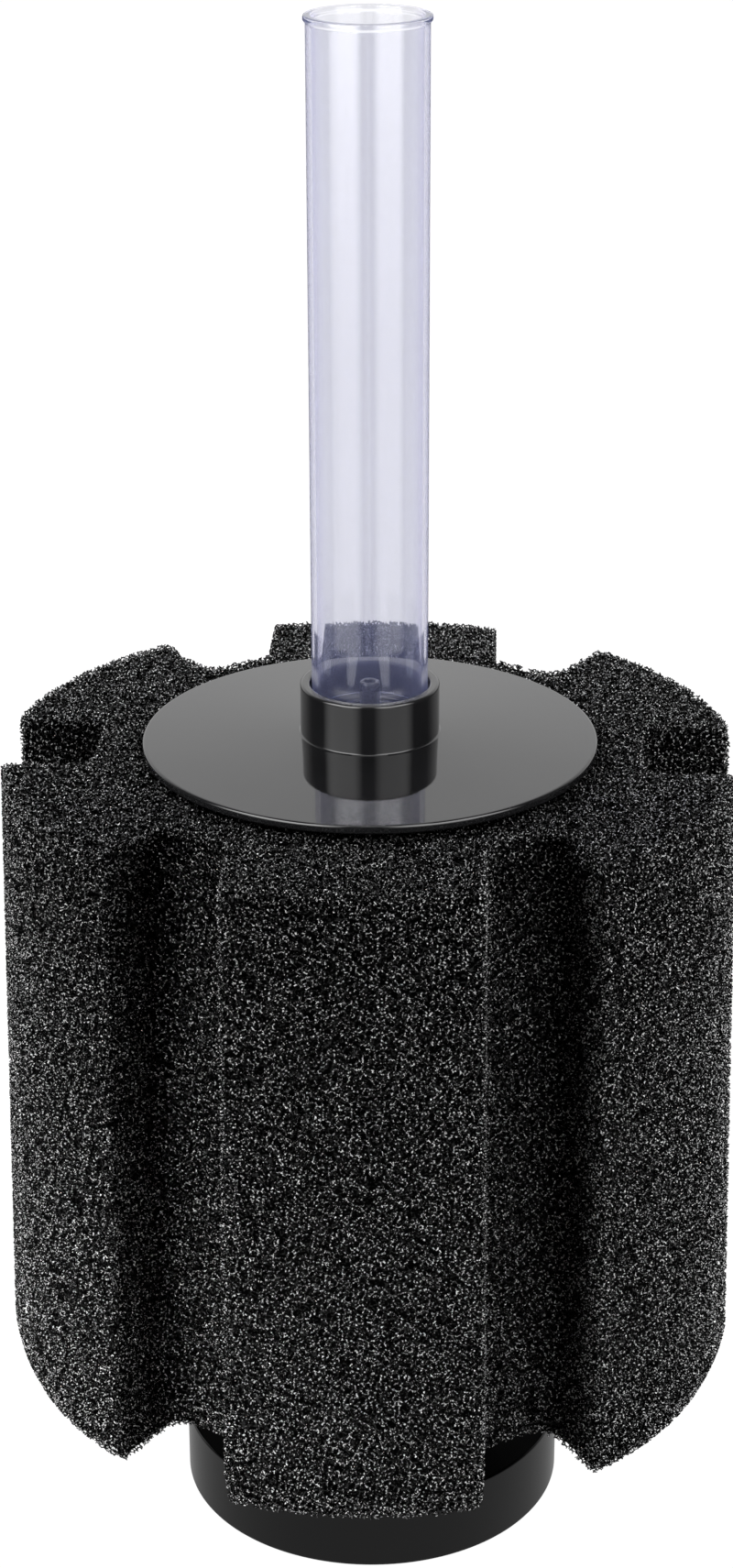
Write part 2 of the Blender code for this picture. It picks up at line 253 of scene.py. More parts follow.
# ---- materials ------------------------------------------------------------------
class Nodes:
    """Builds a material's node tree; a value may be a number, a colour or another node's socket."""

    def __init__(self, name):
        self.mat = bpy.data.materials.new(name)
        self.mat.use_nodes = True
        self.tree = self.mat.node_tree
        self.tree.nodes.clear()
        self.out = self.add("ShaderNodeOutputMaterial")
        self.object_place = None

    def feed(self, target, value):
        if isinstance(value, bpy.types.NodeSocket):
            self.tree.links.new(value, target)
        else:
            target.default_value = value

    def add(self, kind, **values):
        """A node: lower-case names are its settings, capitalised ones its inputs (_ for space)."""
        node = self.tree.nodes.new(kind)
        for key, value in values.items():
            if key.islower():
                setattr(node, key, value)
            else:
                self.feed(node.inputs[key.replace("_", " ")], value)
        return node

    def shader(self, kind, **values):
        return self.add(kind, **values).outputs[0]

    def place(self):
        """The object coordinates, from one node shared by the tree."""
        if self.object_place is None:
            self.object_place = self.add("ShaderNodeTexCoord").outputs["Object"]
        return self.object_place

    def noise(self, scale, detail=3.0, rough=0.5):
        node = self.add("ShaderNodeTexNoise", Scale=scale, Detail=detail, Roughness=rough)
        self.feed(node.inputs["Vector"], self.place())
        return node.outputs["Fac"]

    def ramp(self, source, *stops):
        """A two-stop ramp; each stop is (position, colour or grey level)."""
        node = self.add("ShaderNodeValToRGB", Fac=source)
        for element, (position, value) in zip(node.color_ramp.elements, stops):
            element.position = position
            element.color = (*value, 1.0) if isinstance(value, tuple) else (value,) * 3 + (1.0,)
        return node.outputs["Color"]

    def math(self, operation, *terms):
        node = self.add("ShaderNodeMath", operation=operation)
        for target, term in zip(node.inputs, terms):
            self.feed(target, term)
        return node.outputs[0]

    def vector(self, operation, *terms):
        node = self.add("ShaderNodeVectorMath", operation=operation)
        for target, term in zip(node.inputs, terms):
            self.feed(target, term)
        return node.outputs["Value" if operation in ("LENGTH", "DOT_PRODUCT") else "Vector"]

    def in_plan(self):
        """The object coordinates with z set to 0."""
        return self.vector("MULTIPLY", self.place(), (1.0, 1.0, 0.0))

    def tinted(self, first, second):
        """Two colours multiplied."""
        node = self.add("ShaderNodeMix", data_type="RGBA", blend_type="MULTIPLY", Factor=1.0)
        self.feed(node.inputs[6], first)
        self.feed(node.inputs[7], second)
        return node.outputs[2]

    def mixed(self, share, first, second):
        """Two shaders mixed; the share is the second one's."""
        node = self.add("ShaderNodeMixShader", Fac=share)
        self.feed(node.inputs[1], first)
        self.feed(node.inputs[2], second)
        return node.outputs[0]

    def bump(self, height, strength):
        node = self.add("ShaderNodeBump", Strength=strength, Distance=0.0002, Height=height)
        return node.outputs["Normal"]

    def finish(self, surface):
        self.feed(self.out.inputs["Surface"], surface)
        return self.mat


def plastic(name, colours, roughness, grain, bump):
    """Moulded plastic: colour and gloss drift slowly between two ends, over a fine grain."""
    n = Nodes(name)
    slow = n.noise(scale=55.0, detail=4.0, rough=0.55)
    fine = n.noise(scale=grain, detail=3.0, rough=0.6)
    colour = n.ramp(slow, (0.3, colours[0]), (0.7, colours[1]))
    blend = n.math("MULTIPLY_ADD", fine, 0.35, slow)  # a little grain in the gloss drift
    return n.finish(n.shader(
        "ShaderNodeBsdfPrincipled",
        IOR=1.5,
        Base_Color=colour,
        Roughness=n.ramp(blend, (0.4, roughness[0]), (0.95, roughness[1])),
        Normal=n.bump(fine, strength=bump),
    ))


def foam_material():
    """Black foam: each strut has painted glints, short dashes along its edges painted bright into
    the base colour, nearly black between them.

    The painted glints fade in the grooves and in the middle of the end faces, with distance from
    the rim: painted shade.
    """
    n = Nodes("black_foam")
    dash = n.noise(scale=2900.0, detail=1.0, rough=0.5)
    drift = n.noise(scale=160.0, detail=2.0, rough=0.5)
    # painted shade toward the axis: glints half lit at 30 mm from the axis, fully lit at 50 mm
    rim = n.ramp(n.vector("LENGTH", n.in_plan()), (0.030, 0.5), (0.050, 1.0))
    pattern = n.math("MULTIPLY_ADD", drift, 0.02, dash)
    # painted glints: bright dashes painted into the base colour, where real struts would catch the
    # lamps
    painted_glint = n.ramp(pattern, (0.575, 0.0009), (0.665, (0.74, 0.74, 0.745)))
    shine = n.math("MULTIPLY", n.ramp(pattern, (0.56, 0.03), (0.665, 1.0)), rim)
    return n.finish(n.shader(
        "ShaderNodeBsdfPrincipled",
        IOR=1.55,
        Base_Color=n.tinted(painted_glint, rim),
        Specular_IOR_Level=shine,
        Roughness=n.ramp(drift, (0.3, 0.14), (0.7, 0.26)),
    ))


def foam_heart_material():
    """The dark inside of the foam, near black, with faint painted glints on its cell edges that
    stand in for deeper struts catching light.
    """
    n = Nodes("black_foam_inside")
    cells = n.add("ShaderNodeTexVoronoi", Scale=1050.0, feature="DISTANCE_TO_EDGE")
    n.feed(cells.inputs["Vector"], n.place())
    dash = n.noise(scale=2400.0, detail=1.0, rough=0.5)
    edge = n.ramp(cells.outputs["Distance"], (0.06, 1.0), (0.16, 0.0))
    # painted glints: cell edges, broken into dashes, painted brighter into the base colour
    struts = n.math("MULTIPLY", edge, n.ramp(dash, (0.46, 0.0), (0.62, 1.0)))
    return n.finish(n.shader(
        "ShaderNodeBsdfPrincipled",
        Specular_IOR_Level=0.0,
        Base_Color=n.ramp(struts, (0.0, 0.0007), (1.0, 0.048)),
        Roughness=n.ramp(struts, (0.0, 0.95), (1.0, 0.6)),
    ))


def steel_material():
    """Dull pitted steel: darker and rougher in the pits."""
    n = Nodes("weight_steel")
    pits = n.noise(scale=700.0, detail=5.0, rough=0.65)
    return n.finish(n.shader(
        "ShaderNodeBsdfPrincipled",
        Metallic=1.0,
        Base_Color=n.ramp(pits, (0.3, (0.30, 0.30, 0.32)), (0.7, (0.46, 0.46, 0.48))),
        Roughness=n.ramp(pits, (0.3, 0.55), (0.7, 0.36)),
        Normal=n.bump(pits, strength=0.25),
    ))


def clear_material():
    """Thin clear plastic with a faint violet tint that gathers at its edges."""
    n = Nodes("clear_plastic")
    drift = n.noise(scale=30.0, detail=2.0)
    edge = n.add("ShaderNodeLayerWeight", Blend=0.5).outputs["Facing"]
    body_tint = n.ramp(drift, (0.3, (0.825, 0.822, 0.842)), (0.7, (0.842, 0.84, 0.86)))
    edge_tint = n.ramp(edge, (0.42, 1.0), (0.74, (0.79, 0.77, 0.87)))
    glass = n.shader(
        "ShaderNodeBsdfPrincipled",
        IOR=1.45,
        Transmission_Weight=1.0,
        Base_Color=n.tinted(body_tint, edge_tint),
        Roughness=n.ramp(drift, (0.3, 0.0), (0.7, 0.03)),
    )
    haze = n.shader("ShaderNodeBsdfTranslucent", Color=(0.40, 0.44, 0.72, 1.0))
    hazy_glass = n.mixed(0.055, glass, haze)
    # light passes almost freely, so the shadow stays pale
    through = n.shader("ShaderNodeBsdfTransparent", Color=(0.93, 0.93, 0.98, 1.0))
    shadow_ray = n.add("ShaderNodeLightPath").outputs["Is Shadow Ray"]
    return n.finish(n.mixed(shadow_ray, hazy_glass, through))


GLOSS = plastic(
    "gloss_black_plastic", colours=((0.0035, 0.0035, 0.0038), (0.006, 0.006, 0.0064)),
    roughness=(0.035, 0.06), grain=900.0, bump=0.006,
)
SATIN = plastic(
    "satin_black_plastic", colours=((0.008, 0.008, 0.0085), (0.014, 0.014, 0.0148)),
    roughness=(0.22, 0.32), grain=2600.0, bump=0.05,
)
BASE = plastic(
    "base_black_plastic", colours=((0.0045, 0.0045, 0.0048), (0.0075, 0.0075, 0.0079)),
    roughness=(0.10, 0.16), grain=1800.0, bump=0.02,
)
FOAM = foam_material()
HEART = foam_heart_material()
STEEL = steel_material()
CLEAR = clear_material()


# ---- turned pieces; the columns of each profile are (r, z, corner radius) ---------
def base_housing():
    """The round base shell, open below, with a hollow hub in the middle."""
    radius = HOUSING_HIGH[0] + 0.4
    inside = radius - 2.0
    deck_under = WEIGHT_HIGH[2] + 0.4
    deck_top = deck_under + 2.0
    ledge = COVER_HIGH[2] + 0.5
    hub_bore, hub_recess = 8.3, 9.7
    profile = [
        (radius, 0.0, 0.45),
        (radius, deck_top, 0.4),
        (HUB_RADIUS, deck_top, 0.8),
        (HUB_RADIUS, HUB_TOP, 0.25),
        (hub_bore, HUB_TOP, 0.3),
        (hub_bore, ledge, 0.15),
        (hub_recess, ledge, 0.15),
        (hub_recess, deck_under, 0.4),
        (inside, deck_under, 0.4),
        (inside, 0.0, 0.2),
    ]
    shell = turned("base_shell", fillet(profile), 192)
    place(shell, BASE, "base", "base_black_plastic", "base_housing")


def base_weight():
    """The steel ring inside the base."""
    bore = 10.2
    profile = [
        (bore, WEIGHT_LOW[2], 0.5),
        (WEIGHT_HIGH[0], WEIGHT_LOW[2], 0.7),
        (WEIGHT_HIGH[0], WEIGHT_HIGH[2], 0.7),
        (bore, WEIGHT_HIGH[2], 0.5),
    ]
    ring = turned("weight_ring", fillet(profile), 128)
    place(ring, STEEL, "base", "weight_steel", "base_weight")


def base_cover():
    """The plate under the base, its middle raised off the ground."""
    raised = 0.6
    profile = [
        (0.0, raised, 0.0),
        (24.0, raised, 0.3),
        (25.0, 0.0, 0.3),
        (COVER_HIGH[0], 0.0, 0.25),
        (COVER_HIGH[0], COVER_HIGH[2], 0.2),
        (0.0, COVER_HIGH[2], 0.0),
    ]
    cover = turned("bottom_plate", fillet(profile), 128)
    place(cover, SATIN, "base", "satin_black_plastic", "base_cover")


def lower_plate():
    """The disc below the sponge: stem in the hub, collar on it, and a spigot upwards."""
    bore, stem = 6.4, 8.0
    collar_foot = HUB_TOP + FIT_GAP
    top = SPONGE_LOW[2] - FIT_GAP
    under = top - DISC_THICKNESS
    profile = [
        (bore, PLATE_LOW[2], 0.2),
        (stem, PLATE_LOW[2], 0.5),
        (stem, collar_foot, 0.2),
        (HUB_RADIUS, collar_foot, 0.3),
        (HUB_RADIUS, under, 0.8),
        (PLATE_HIGH[0], under, 0.4),
        (PLATE_HIGH[0], top, 0.4),
        (SPIGOT_RADIUS, top, 0.15),
        (SPIGOT_RADIUS, PLATE_HIGH[2], 0.4),
        (bore, PLATE_HIGH[2], 0.2),
    ]
    plate = turned("bottom_disc", fillet(profile), 160)
    place(plate, SATIN, "core", "satin_black_plastic", "lower_plate")


def top_cap():
    """The glossy disc over the sponge, with the collar that holds the tube and a skirt below."""
    disc = PLATE_HIGH[0] + 0.55
    skirt, collar, socket = 10.0, 12.0, 10.3
    bore, rib = 8.4, 7.6
    rib_low, rib_high = 146.2, 147.2
    under = SPONGE_HIGH[2] + FIT_GAP
    rim_top = under + DISC_THICKNESS
    socket_floor = TUBE_LOW[2] - FIT_GAP
    profile = [
        (skirt, CAP_LOW[2], 0.3),
        (skirt, under, 0.3),
        (disc, under, 0.35),
        (disc, rim_top, 0.45),
        (collar, rim_top + 1.1, 0.3),  # the disc rises a little towards the collar
        (collar, CAP_HIGH[2], 0.45),
        (socket, CAP_HIGH[2], 0.4),
        (socket, socket_floor, 0.2),
        (bore, socket_floor, 0.3),
        (bore, rib_high, 0.1),
        (rib, rib_high, 0.15),
        (rib, rib_low, 0.15),
        (bore, rib_low, 0.1),
        (bore, CAP_LOW[2], 0.3),
    ]
    cap = turned("cap_and_collar", fillet(profile), 224)
    return place(cap, GLOSS, "cap", "gloss_black_plastic", "top_cap")


def lift_tube():
    """The clear tube, with a wider lip at its top."""
    radius = 10.0
    lip, top = TUBE_HIGH[0], TUBE_HIGH[2]
    profile = [
        (9.0, TUBE_LOW[2], 0.2),
        (radius, TUBE_LOW[2], 0.2),
        (radius, top - 1.3, 0.6),
        (lip, top - 0.8, 0.3),
        (lip, top, 0.35),
        (9.05, top, 0.3),
    ]
    tube = turned("clear_lift_tube", fillet(profile), 192)
    return place(tube, CLEAR, "tube", "clear_plastic", "lift_tube")


# ---- strainer core: three slotted segments that plug into each other --------------
SLEEVE_RADIUS = 10.0
SLEEVE_SOCKET = 8.4
SLEEVE_SPIGOT_BORE = 6.9
SLEEVE_HEIGHT = 36.0  # up to the shoulder at the spigot's foot
SLEEVE_SPIGOT_HEIGHT = 5.0
SLEEVE_HEAD = 1.5  # thickness of the shoulder
SLOTS, SLOT_FIRST, SLOT_PITCH, SLOT_HEIGHT = 4, 4.3, 8.0, 3.4
SLOT_SPAN, SLOT_STEPS, POST_STEPS = 66.0, 12, 6  # span in degrees; posts fill up each quarter


def sleeve_angles():
    """Column angles in degrees: in each quarter a slot's, then a post's."""
    post_span = 90.0 - SLOT_SPAN
    angles = []
    for quarter in range(4):
        centre = 90.0 * quarter
        start, end = centre - SLOT_SPAN / 2, centre + SLOT_SPAN / 2
        angles += [start + SLOT_SPAN / SLOT_STEPS * i for i in range(SLOT_STEPS)]
        angles += [end + post_span / POST_STEPS * i for i in range(POST_STEPS)]
    return angles


def sleeve(name, foot):
    """One strainer segment: a tube with four slots, one over another, in each quarter."""
    angles = sleeve_angles()
    columns, quarter_columns = len(angles), SLOT_STEPS + POST_STEPS
    head = foot + SLEEVE_HEIGHT
    tip = head + SLEEVE_SPIGOT_HEIGHT
    head_under = head - SLEEVE_HEAD
    first = foot + SLOT_FIRST
    slots = [
        (first + SLOT_PITCH * k, first + SLOT_PITCH * k + SLOT_HEIGHT) for k in range(SLOTS)
    ]
    levels = [foot] + [z for pair in slots for z in pair]
    # up the outside, over the spigot, and down the inside
    rings = [(SLEEVE_RADIUS, z) for z in levels]
    rings += [
        (SLEEVE_RADIUS, head),
        (SPIGOT_RADIUS, head),
        (SPIGOT_RADIUS, tip),
        (SLEEVE_SPIGOT_BORE, tip),
        (SLEEVE_SPIGOT_BORE, head_under),
        (SLEEVE_SOCKET, head_under),
    ]
    rings += [(SLEEVE_SOCKET, z) for z in reversed(levels)]
    total = len(rings)
    points = [on_circle(r, math.radians(angle), z) for r, z in rings for angle in angles]
    loops, starts = [], []

    def quad(*corners):
        starts.append(len(loops))
        loops.extend(corners)

    slot_rows = range(1, 2 * SLOTS, 2)
    gaps = set(slot_rows) | {total - 2 - row for row in slot_rows}
    for i in range(total):
        j = (i + 1) % total
        for k in range(columns):
            m = (k + 1) % columns
            if i in gaps and k % quarter_columns < SLOT_STEPS:
                continue
            quad(i * columns + k, i * columns + m, j * columns + m, j * columns + k)
    # the slots' own walls, from the outer face to the inner
    for row in slot_rows:
        low_out, high_out = row * columns, (row + 1) * columns
        low_in, high_in = (total - 1 - row) * columns, (total - 2 - row) * columns
        for quarter in range(4):
            k0 = quarter * quarter_columns
            k1 = k0 + SLOT_STEPS
            for k in range(k0, k1):
                quad(low_out + k, low_out + k + 1, low_in + k + 1, low_in + k)
                quad(high_out + k, high_in + k, high_in + k + 1, high_out + k + 1)
            quad(low_out + k0, low_in + k0, high_in + k0, high_out + k0)
            quad(low_out + k1, high_out + k1, high_in + k1, low_in + k1)
    return softened(link(name, mesh_from(name, points, loops, starts)), 0.22)


def strainer_core():
    for node in ("core_lower", "core_middle", "core_upper"):
        segment = sleeve(node.replace("core", "strainer"), foot=box_mm(node)[0][2])
        place(segment, SATIN, "core", "satin_black_plastic", node)


# ---- air diffuser -----------------------------------------------------------------
def bar(name, x_range, y_range, z_range, turn):
    """A softened box, turned about the z axis by degrees."""
    (x0, x1), (y0, y1) = x_range, y_range
    c, s = math.cos(math.radians(turn)), math.sin(math.radians(turn))
    plan = ((x0, y0), (x1, y0), (x1, y1), (x0, y1))
    points = [(x * c - y * s, x * s + y * c, z) for z in z_range for x, y in plan]
    loops = [0, 3, 2, 1, 4, 5, 6, 7, 0, 1, 5, 4, 1, 2, 6, 5, 2, 3, 7, 6, 3, 0, 4, 7]
    return softened(link(name, mesh_from(name, points, loops, range(0, 24, 4))), 0.2)


def diffuser_body():
    """The nipple over its chamber, held in a ring by four arms."""
    body_profile = [
        (4.2, 143.0, 0.1),
        (5.2, 143.0, 0.3),
        (5.2, 147.8, 0.5),
        (3.2, 148.8, 0.5),
        (3.2, 152.2, 0.6),
        (1.75, 153.0, 0.5),
        (1.75, 158.6, 0.35),
        (1.0, 158.6, 0.15),
        (1.0, 147.0, 0.1),
        (4.2, 147.0, 0.4),
    ]
    ring_profile = [
        (7.1, 147.5, 0.25),
        (8.1, 147.5, 0.25),
        (8.1, 152.2, 0.25),
        (7.1, 152.2, 0.25),
    ]
    body = turned("nipple_and_chamber", fillet(body_profile), 72)
    ring = turned("carrier_ring", fillet(ring_profile), 96)
    arms = [
        bar(f"arm_{k}", (1.6, 7.6), (-0.7, 0.7), (149.2, 151.6), turn=90.0 * k)
        for k in range(4)
    ]
    merged(body, [ring] + arms, "UNION")
    return place(body, SATIN, "diffuser", "satin_black_plastic", "diffuser_body")


def diffuser_cap():
    """The plug under the chamber, drilled with a circle of small holes."""
    profile = [
        (0.0, 141.2, 0.0),
        (5.2, 141.2, 0.35),
        (5.2, 142.7, 0.2),
        (3.9, 142.7, 0.15),
        (3.9, 144.5, 0.2),
        (3.1, 144.5, 0.15),
        (3.1, 142.5, 0.2),
        (0.0, 142.5, 0.0),
    ]
    holes, circle, hole_radius = 6, 2.0, 0.4
    plug = turned("bubble_cap", fillet(profile), 72)
    drills = []
    for k in range(holes):
        rod = [(0.0, 140.5), (hole_radius, 140.5), (hole_radius, 143.5), (0.0, 143.5)]
        drill = turned("drill", rod, 20)
        x, y, _ = on_circle(circle, math.radians(360 // holes * k))
        drill.data.transform(Matrix.Translation((x * MM, y * MM, 0.0)))
        drills.append(drill)
    merged(plug, drills, "DIFFERENCE")
    place(plug, SATIN, "diffuser_plug", "satin_black_plastic", "diffuser_cap")


# ---- sponge outline ---------------------------------------------------------------
SPONGE_R = float(SPONGE_HIGH[1])
Z0, Z1 = float(SPONGE_LOW[2]), float(SPONGE_HIGH[2])
GROOVE_FLOOR_R = SPONGE_R * 0.75
BORE_R = 10.4
GROOVE_ROUNDING = 4.0


def polar(radius, degrees):
    return np.array(on_circle(radius, math.radians(degrees))[:2])


def rounded(before, corner, after):
    """The arc that rounds a corner of a groove's floor."""
    u = (before - corner) / np.linalg.norm(before - corner)
    v = (after - corner) / np.linalg.norm(after - corner)
    half = math.acos(max(-1.0, min(1.0, float(u @ v)))) / 2
    first = corner + u * GROOVE_ROUNDING / math.tan(half)
    last = corner + v * GROOVE_ROUNDING / math.tan(half)
    hub = corner + (u + v) / np.linalg.norm(u + v) * GROOVE_ROUNDING / math.sin(half)
    return arc(hub, GROOVE_ROUNDING, first, last, steps=8)


def lobe_angles(lobe):
    """Half the angle of a lobe at its rim and at its foot; front and back lobes have wide feet."""
    return (19.4, 26.1) if lobe % 3 == 0 else (20.6, 18.2)


def sponge_outline():
    """Six lobes, anticlockwise from the front one."""
    outline = []
    for lobe in range(6):
        centre = -90.0 + 60.0 * lobe
        rim, foot = lobe_angles(lobe)
        next_rim, next_foot = lobe_angles(lobe + 1)
        foot_a = centre + foot
        foot_b = centre + 60.0 - next_foot
        middle = polar(GROOVE_FLOOR_R, (foot_a + foot_b) / 2)
        outline += [polar(SPONGE_R, centre - rim + 2 * rim * i / 20) for i in range(21)]
        outline += rounded(polar(SPONGE_R, centre + rim), polar(GROOVE_FLOOR_R, foot_a), middle)
        next_edge = polar(SPONGE_R, centre + 60.0 - next_rim)
        outline += rounded(middle, polar(GROOVE_FLOOR_R, foot_b), next_edge)
    return np.array(outline)


OUTLINE = sponge_outline()


def outline_distance(points):
    """Signed distance in plan from the sponge's outline, negative inside."""
    best = np.full(len(points), 1e9)
    inside = np.zeros(len(points), bool)
    x, y = points[:, 0], points[:, 1]
    for (ax, ay), (bx, by) in zip(OUTLINE, np.roll(OUTLINE, -1, axis=0)):
        ex, ey = bx - ax, by - ay
        t = np.clip(((x - ax) * ex + (y - ay) * ey) / (ex * ex + ey * ey), 0, 1)
        best = np.minimum(best, (x - ax - t * ex) ** 2 + (y - ay - t * ey) ** 2)
        if ay != by:
            crosses = (ay > y) != (by > y)
            inside ^= crosses & (x < ex * (y - ay) / (by - ay) + ax)
    return np.where(inside, -1, 1) * np.sqrt(best)


# the distance is tabled on a square grid, then read between its nodes
GRID_STEP = 0.25
GRID_HALF = SPONGE_R + 2.0
GRID_SIDE = int(math.ceil(2 * GRID_HALF / GRID_STEP)) + 1
grid_axis = -GRID_HALF + GRID_STEP * np.arange(GRID_SIDE)
GRID = outline_distance(
    np.stack(np.meshgrid(grid_axis, grid_axis, indexing="ij"), -1).reshape(-1, 2)
).reshape(GRID_SIDE, GRID_SIDE)


def side_distance(points):
    spot = np.clip((points[:, :2] + GRID_HALF) / GRID_STEP, 0, GRID_SIDE - 1.001)
    cell = spot.astype(int)
    part = spot - cell
    i, j = cell[:, 0], cell[:, 1]
    u, v = part[:, 0], part[:, 1]
    return (GRID[i, j] * (1 - u) + GRID[i + 1, j] * u) * (1 - v) + (
        GRID[i, j + 1] * (1 - u) + GRID[i + 1, j + 1] * u
    ) * v


def skin(points):
    """Signed distance from the sponge's outer faces, negative inside; the bore is left out."""
    z = points[:, 2]
    return np.maximum(side_distance(points), np.maximum(z - Z1, Z0 - z))


# ---- foam tile: a periodic net of struts, as between packed bubbles -----------------
def cube_grid(steps):
    return np.stack(np.meshgrid(steps, steps, steps, indexing="ij"), -1).reshape(-1, 3)


def tetrahedra(bubbles, size):
    """The Delaunay cells of periodic points: centres, corner ids, and each corner's tile."""
    count = len(bubbles)
    shifts = cube_grid(np.arange(-1, 2))
    every = (bubbles[None] + shifts[:, None] * size).reshape(-1, 3)
    every_id, every_tile = np.tile(np.arange(count), 27), np.repeat(shifts, count, axis=0)
    centres, corners, tiles = [], [], []
    for i in range(count):
        away = every - bubbles[i]
        away2 = (away * away).sum(1)
        near = np.where((away2 > 1e-9) & (away2 < 1.72**2))[0]
        q, q2 = away[near], away2[near]
        # each cell is found once, from its lowest bubble
        later = np.where(every_id[near] > i)[0]
        if len(later) < 3:
            continue
        a, b = np.triu_indices(len(later), 1)
        triples = [np.zeros((0, 3), int)]
        for t in range(len(later) - 2):
            pick = a > t
            triples.append(np.stack([np.full(pick.sum(), t), a[pick], b[pick]], 1))
        tri = later[np.concatenate(triples)]
        A, B, C = q[tri[:, 0]], q[tri[:, 1]], q[tri[:, 2]]
        bc = np.cross(B, C)
        volume = (A * bc).sum(1)
        ok = np.abs(volume) > 1e-6
        tri, A, B, C, bc, volume = tri[ok], A[ok], B[ok], C[ok], bc[ok], volume[ok]
        hub = (
            q2[tri[:, 0], None] * bc
            + q2[tri[:, 1], None] * np.cross(C, A)
            + q2[tri[:, 2], None] * np.cross(A, B)
        ) / (2 * volume[:, None])
        reach = (hub * hub).sum(1)
        ok = reach < 0.86**2
        tri, hub, reach = tri[ok], hub[ok], reach[ok]
        # no other bubble may lie within the sphere through the four corners
        gaps = ((hub[:, None] - q[None]) ** 2).sum(2)
        ok = (gaps >= reach[:, None] - 1e-9).all(1)
        tri, hub = tri[ok], hub[ok]
        found = near[tri]
        centres.append(hub + bubbles[i])
        corners.append(np.concatenate([np.full((len(tri), 1), i), every_id[found]], 1))
        own_tile = np.zeros((len(tri), 1, 3), int)
        tiles.append(np.concatenate([own_tile, every_tile[found]], 1))
    centres, corners, tiles = map(np.concatenate, (centres, corners, tiles))
    order = np.argsort(corners, axis=1)
    corners = np.take_along_axis(corners, order, 1)
    tiles = np.take_along_axis(tiles, order[:, :, None], 1)
    return centres, corners, tiles


def shared_faces(corners, tiles, bubble_count):
    """For each cell's four faces: the cell beyond, its matching face, and the tile step there."""
    count = len(corners)
    keys, origins = [], []
    for side in range(4):
        pick = [x for x in range(4) if x != side]
        key = (corners[:, pick[0]] * bubble_count + corners[:, pick[1]]).astype(np.int64)
        key = key * bubble_count + corners[:, pick[2]]
        origin = tiles[:, pick[0]]
        for other in pick[1:]:
            for axis in range(3):
                key = key * 9 + (tiles[:, other, axis] - origin[:, axis] + 4)
        keys.append(key)
        origins.append(origin)
    keys = np.stack(keys, 1).ravel()
    origins = np.stack(origins, 1).reshape(-1, 3)
    order = np.argsort(keys, kind="stable")
    same = keys[order][1:] == keys[order][:-1]
    a, b = order[:-1][same], order[1:][same]
    neighbour, face = np.full(count * 4, -1), np.full(count * 4, -1)
    shift = np.zeros((count * 4, 3), int)
    for here, there in ((a, b), (b, a)):
        neighbour[here] = there // 4
        face[here] = there % 4
        shift[here] = origins[here] - origins[there]
    return neighbour.reshape(count, 4), face.reshape(count, 4), shift.reshape(count, 4, 3)


def foam_tile(cells, jitter, seed, relax):
    """The net's joints, with each one's four neighbours, their faces and tile steps."""
    rng = np.random.RandomState(seed)
    lattice = cube_grid(np.arange(cells)).astype(float)
    bubbles = np.concatenate([lattice, lattice + 0.5])
    limit = 2.2 * jitter
    bubbles = bubbles + np.clip(rng.normal(0, jitter, bubbles.shape), -limit, limit)
    size = float(cells)
    bubbles %= size
    centres, corners, tiles = tetrahedra(bubbles, size)
    neighbour, face, shift = shared_faces(corners, tiles, len(bubbles))
    if (neighbour < 0).any():
        raise RuntimeError("the foam net has a loose strut")
    for _ in range(relax):
        centres += 0.5 * ((centres[neighbour] + shift * size).mean(1) - centres)
    return centres, neighbour, face, shift, size


def rotation(seed):
    """A random turn, from a random quaternion."""
    q = np.random.RandomState(seed).normal(size=4)
    w, x, y, z = q / np.linalg.norm(q)
    return np.array(
        [
            [1 - 2 * (y * y + z * z), 2 * (x * y - z * w), 2 * (x * z + y * w)],
            [2 * (x * y + z * w), 1 - 2 * (x * x + z * z), 2 * (y * z - x * w)],
            [2 * (x * z - y * w), 2 * (y * z + x * w), 1 - 2 * (x * x + y * y)],
        ]
    )


# ---- foam net: the tiles that fill the sponge's skin, as a mesh ----------------------
CELL = 1.2  # edge of the packing cell that holds two bubbles
STRUT = 0.172  # how far a joint's corners stand from its middle
MIN_STUB = 0.09  # shortest strut cut at the skin
STUB_TAPER = 0.82  # width of a cut end against its root
DEPTH = 0.65  # thickness of the modelled net under the skin
DRIFT, DRIFT_LENGTH = 0.5, 61.0  # size and wavelength of the slow warp
FLARE_TOP, FLARE_FOOT = 0.996, 1.036  # the foam's width at its ends, against the CAD's
LOBES = ("front", "front_right", "back_right", "back", "back_left", "front_left")
CUTS = (0.15, 0.38, 0.62, 0.85)  # shares of the height that part each lobe into light meshes
LEVELS = len(CUTS) + 1
# a joint is a tetrahedron; each of its faces has the three corners other than its own
FACE_CORNERS = np.array([[1, 2, 3], [0, 2, 3], [0, 1, 3], [0, 1, 2]])


def main_net(label, partner):
    """Spreads the lowest label through each connected net; true for joints of the largest."""
    while True:
        near = np.where(partner >= 0, label[partner], len(label))
        lower = np.minimum(label, near.min(1))
        lower = lower[lower]
        if (lower == label).all():
            return label == np.bincount(label).argmax()
        label = lower


